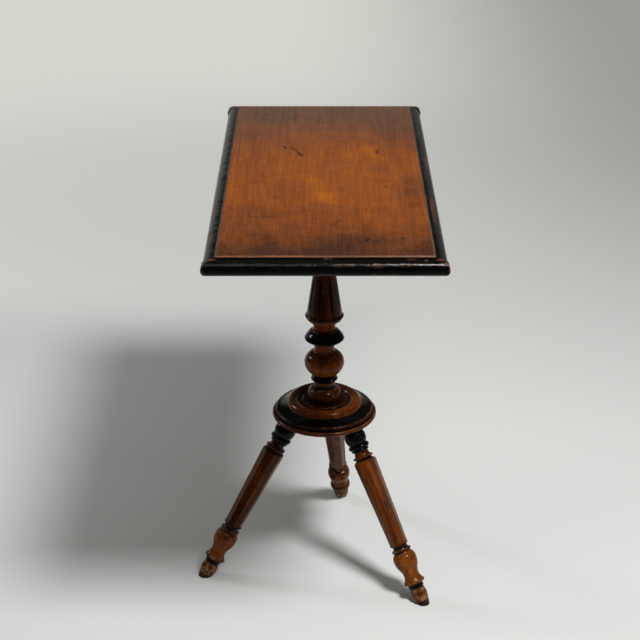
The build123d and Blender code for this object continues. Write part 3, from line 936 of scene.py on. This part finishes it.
# %% Write down the platform's bands
# Each row: radius, and depth of the rim, where it starts, then the same four
platform_rows = [
    (0.0000, 0.0, 0.30, 0.0, 0.2),
    (0.0345, 0.0, 0.20, 0.0, 0.2),
    (0.0371, 0.0, 0.30, 0.5, 0.0),
    (0.0379, 0.0, 0.24, 0.0, 0.0),
    (0.0386, 0.0, 0.10, 0.3, 0.0),
    (0.0393, 0.0, 0.12, 0.0, 0.0),
    (0.0434, 0.0, 0.50, 0.4, 0.0),
    (0.0446, 0.0, 0.64, 0.0, 0.1),
    (0.0590, 0.0, 0.50, 0.0, 0.1),
    (0.0628, 1.0, 0.00, 0.0, 0.0),
    (0.0785, 0.0, 0.26, 0.5, 0.0),
    (0.0800, 0.0, 0.16, 0.0, 0.2),
    (0.1100, 0.0, 0.00, 0.0, 0.0),
    (0.1160, 0.0, 0.44, 0.4, 0.1),
    (0.1240, 0.0, 0.43, 0.0, 0.1),
    (0.1620, 0.0, 0.06, 0.0, 0.0),
    (0.1720, 0.0, 0.30, 0.0, 0.3),
]
print("painted bands on the platform:", sum(row[1] > 0 for row in platform_rows))

# %% Finish the platform
rim_edge_height = 0.2945
rim_depth_factor = 5.0


def measure_ring(coat, place):
    """Distance from the axis, and a multiple of the depth below the rim's top edge."""
    depth = coat.math("SUBTRACT", rim_edge_height, measure_height(coat, place), clamp=True)
    return coat.plus(measure_radius(coat, place), coat.times(depth, rim_depth_factor))


# Painted shade: the far side of the crest is darkened in the colour, drawn as black paint
def painted_shade_at_back(coat, place, measure):
    """Painted shade, as dark as paint, on the far side of the platform's crest, and no wear."""
    on_crest = coat.times(coat.remap(measure, 0.038, 0.044), coat.remap(measure, 0.062, 0.056))
    at_back = coat.remap(coat.axes(place)[1], -0.015, 0.03, 0.0, 0.6)
    return coat.times(at_back, on_crest), 0.0


platform_wood = make_turned_wood(
    "platform_wood", upright, measure_ring, platform_rows, 1.9, painted_shade_at_back
)

# %% [markdown]
# ## Legs
# Every leg has the same turning and the same bands, in shares of its length. Each
# leans its own way, so its pattern is read in axes that lean with it: the origin is
# where the leg's axis meets the floor, and Z runs up the axis. The flats of the shaft
# meet in eight arrises, where the polish has rubbed thin.

# %% Describe the legs
# Where a leg's axis meets the floor and the platform's underside, from the column's axis
leg_reach = 0.216
leg_socket_radius = 0.0572
# Each leg: heading, share of the reach, turn in its mortise, more fade and more grime
# On the left and rear legs, which stand in shade, the lower fade and the added grime are partly
# painted shade
leg_settings = {
    "leg_left": (198.0, 1.00, -19.0, -0.17, 0.2),
    "leg_right": (318.0, 1.03, 8.0, -0.06, 0.0),
    "leg_rear": (80.6, 0.94, 0.0, -0.12, 0.4),
}
# Each row: share of the leg's length where it starts, then paint, fade, wear and grime
leg_rows = [
    (-0.060, 0.0, 0.14, 0.10, 0.6),
    (0.014, 0.0, 0.42, 0.80, 0.6),
    (0.083, 1.0, 0.00, 0.0, 0.0),
    (0.108, 0.0, 0.60, 0.0, 0.3),
    (0.117, 0.0, 0.50, 0.4, 0.2),
    (0.124, 0.0, 0.80, 0.0, 0.35),
    (0.284, 1.0, 0.00, 0.0, 0.0),
    (0.293, 0.0, 0.40, 0.3, 0.0),
    (0.303, 0.0, 0.16, 0.0, 0.0),
    (0.330, 0.0, 0.60, 0.0, 0.2),
    (0.803, 0.0, 0.10, 0.0, 0.0),
    (0.815, 0.0, 0.44, 0.5, 0.0),
    (0.824, 0.0, 0.42, 0.0, 0.2),
    (0.849, 1.0, 0.00, 0.0, 0.0),
    (1.100, 1.0, 0.00, 0.0, 0.0),
]
# Where the octagonal shaft starts and ends, in shares of the leg's length
shaft_shares = (0.335, 0.790)
half_flat = math.pi / 8
# Angles from an arris, in radians, at which the polish starts to thin and is thinnest
arris_angles = (0.075, 0.020)
platform_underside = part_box("platform")[0].z
print("platform's underside in metres:", round(platform_underside, 4))


def leg_bands(leg_length, extra_fade_and_shade, extra_grime_and_shade):
    """The rows of one leg, in metres up its axis, with its own stain and grime (partly painted
    shade on shaded legs).
    """
    return [
        (
            share * leg_length,
            paint,
            max(fade + extra_fade_and_shade, 0.0),
            wear,
            min(grime + extra_grime_and_shade, 1.0),
        )
        for share, paint, fade, wear, grime in leg_rows
    ]


# %% Finish the legs
def dress_leg(name, seed):
    """Lean the patterns with one leg, and rub the arrises between its flats."""
    heading, reach_share, turn, extra_fade_and_shade, extra_grime_and_shade = leg_settings[name]
    angle = math.radians(heading)
    outwards = Vector((math.cos(angle), math.sin(angle), 0))
    sideways = Vector((-math.sin(angle), math.cos(angle), 0))
    foot = outwards * leg_reach * reach_share
    axis = outwards * leg_socket_radius + Vector((0, 0, platform_underside)) - foot
    upwards = axis.normalized()
    lean = Matrix((sideways, upwards.cross(sideways), upwards)).transposed().to_euler()
    low, high = (share * axis.length for share in shaft_shares)

    def leaning(coat):
        """The place in axes that lean with the leg."""
        return coat.seen_from(coat.place(), foot, lean)

    def arrises(coat, place, measure):
        """No paint, and wear along the lines where two flats of the shaft meet."""
        x, y, z = coat.axes(place)
        around = coat.math("SUBTRACT", coat.math("ARCTAN2", y, x), math.radians(turn))
        near = coat.remap(coat.math("PINGPONG", around, half_flat), *arris_angles)
        on_shaft = coat.times(coat.remap(z, low, low + 0.004), coat.remap(z, high, high - 0.006))
        broken = coat.remap(coat.noise(place, 120, detail=3), 0.38, 0.60, 0.02, 0.28)
        return 0.0, coat.times(near, on_shaft, broken)

    print(name, "length in metres:", round(axis.length, 4))
    rows = leg_bands(axis.length, extra_fade_and_shade, extra_grime_and_shade)
    return make_turned_wood(name + "_wood", leaning, measure_height, rows, seed, arrises)


leg_wood = {name: dress_leg(name, seed) for seed, name in enumerate(leg_settings, start=3)}

# %% [markdown]
# ## The hidden carpentry
# The bearer, its screws and the wedges are seen only from below. The bearer is a sawn
# and planed board without polish, the screws are dull steel with a film of rust, and
# the wedges are pale wood.


# %% Finish the bearer and the wedges
def make_bare_wood(name, dark, light, rotation, seed):
    """Unpolished board: saw marks across, pores along, darker in its corners."""
    coat = Coat(name)
    grain_place = coat.seen_from(coat.place(), rotation=rotation)
    lines = figure(coat, grain_place, seed, rings=20)
    fine = pores(coat, grain_place, seed, width=500)
    saw = coat.noise(coat.stretched(grain_place, scale=(0.05, 0.05, 1)), 420, detail=2)
    tone = coat.plus(coat.times(lines, 0.8), coat.remap(fine, 0.3, 0.7, 0.0, 0.6))
    colour = coat.ramp(tone, [(0.1, dark), (0.9, light)])
    # Darker in the corners, where the occlusion probe finds wood close by
    recess_darkening = coat.remap(coat.recess(0.012), 0.2, 0.9, 0.0, 0.7)
    colour = coat.mix(recess_darkening, colour, (0.02, 0.013, 0.009))
    normal = coat.relief((fine, 0.00015), (saw, 0.0001))
    roughness = coat.remap(fine, 0.3, 0.7, 0.55, 0.75)
    print(name, "with", len(coat.tree.nodes), "nodes")
    return coat.finish({"Base Color": colour, "Roughness": roughness, "Normal": normal})


bearer_wood = make_bare_wood(
    "bearer_wood", (0.065, 0.034, 0.02), (0.15, 0.085, 0.05), (quarter_turn, 0, 0), 5.3
)
wedge_wood = make_bare_wood("wedge_wood", (0.24, 0.15, 0.08), (0.42, 0.29, 0.17), (0, 0, 0), 8.1)


# %% Finish the screws
def make_screw_steel():
    """Dull steel with rust in spots and in the slots, where the damp sat."""
    coat = Coat("screw_steel")
    spots = coat.noise(coat.place(), 700, detail=4, roughness=0.65)
    rust = coat.remap(coat.plus(spots, coat.times(coat.recess(0.002), 0.3)), 0.5, 0.7)
    rust_colour = coat.mix(spots, (0.10, 0.035, 0.014), (0.22, 0.085, 0.03))
    values = {
        "Base Color": coat.mix(rust, (0.20, 0.185, 0.17), rust_colour),
        "Metallic": coat.math("SUBTRACT", 1.0, coat.times(rust, 0.9)),
        "Roughness": coat.plus(coat.times(rust, 0.4), 0.38),
        "Normal": coat.relief((spots, 0.0001)),
    }
    print("screw_steel with", len(coat.tree.nodes), "nodes")
    return coat.finish(values)


screw_steel = make_screw_steel()

# %% [markdown]
# ## Dressing the table
# Every piece gets one material, and the four mouldings share theirs. The meshes stay as
# they came, so the dressed table is exactly as large as the solid one.

# %% Dress every piece
finishes = {
    "top_panel": panel_wood,
    "top_bearer": bearer_wood,
    "bearer_screws": screw_steel,
    "column": column_wood,
    "platform": platform_wood,
    "wedge_upper": wedge_wood,
    "wedge_lower": wedge_wood,
    **leg_wood,
}
for name, piece in nodes.items():
    piece.data.materials.clear()
    piece.data.materials.append(finishes.get(name, ebonised_wood))
    print(name, "wears", piece.data.materials[0].name)

# %% Show the colours with the standard view transform
scene.view_settings.view_transform = "Standard"
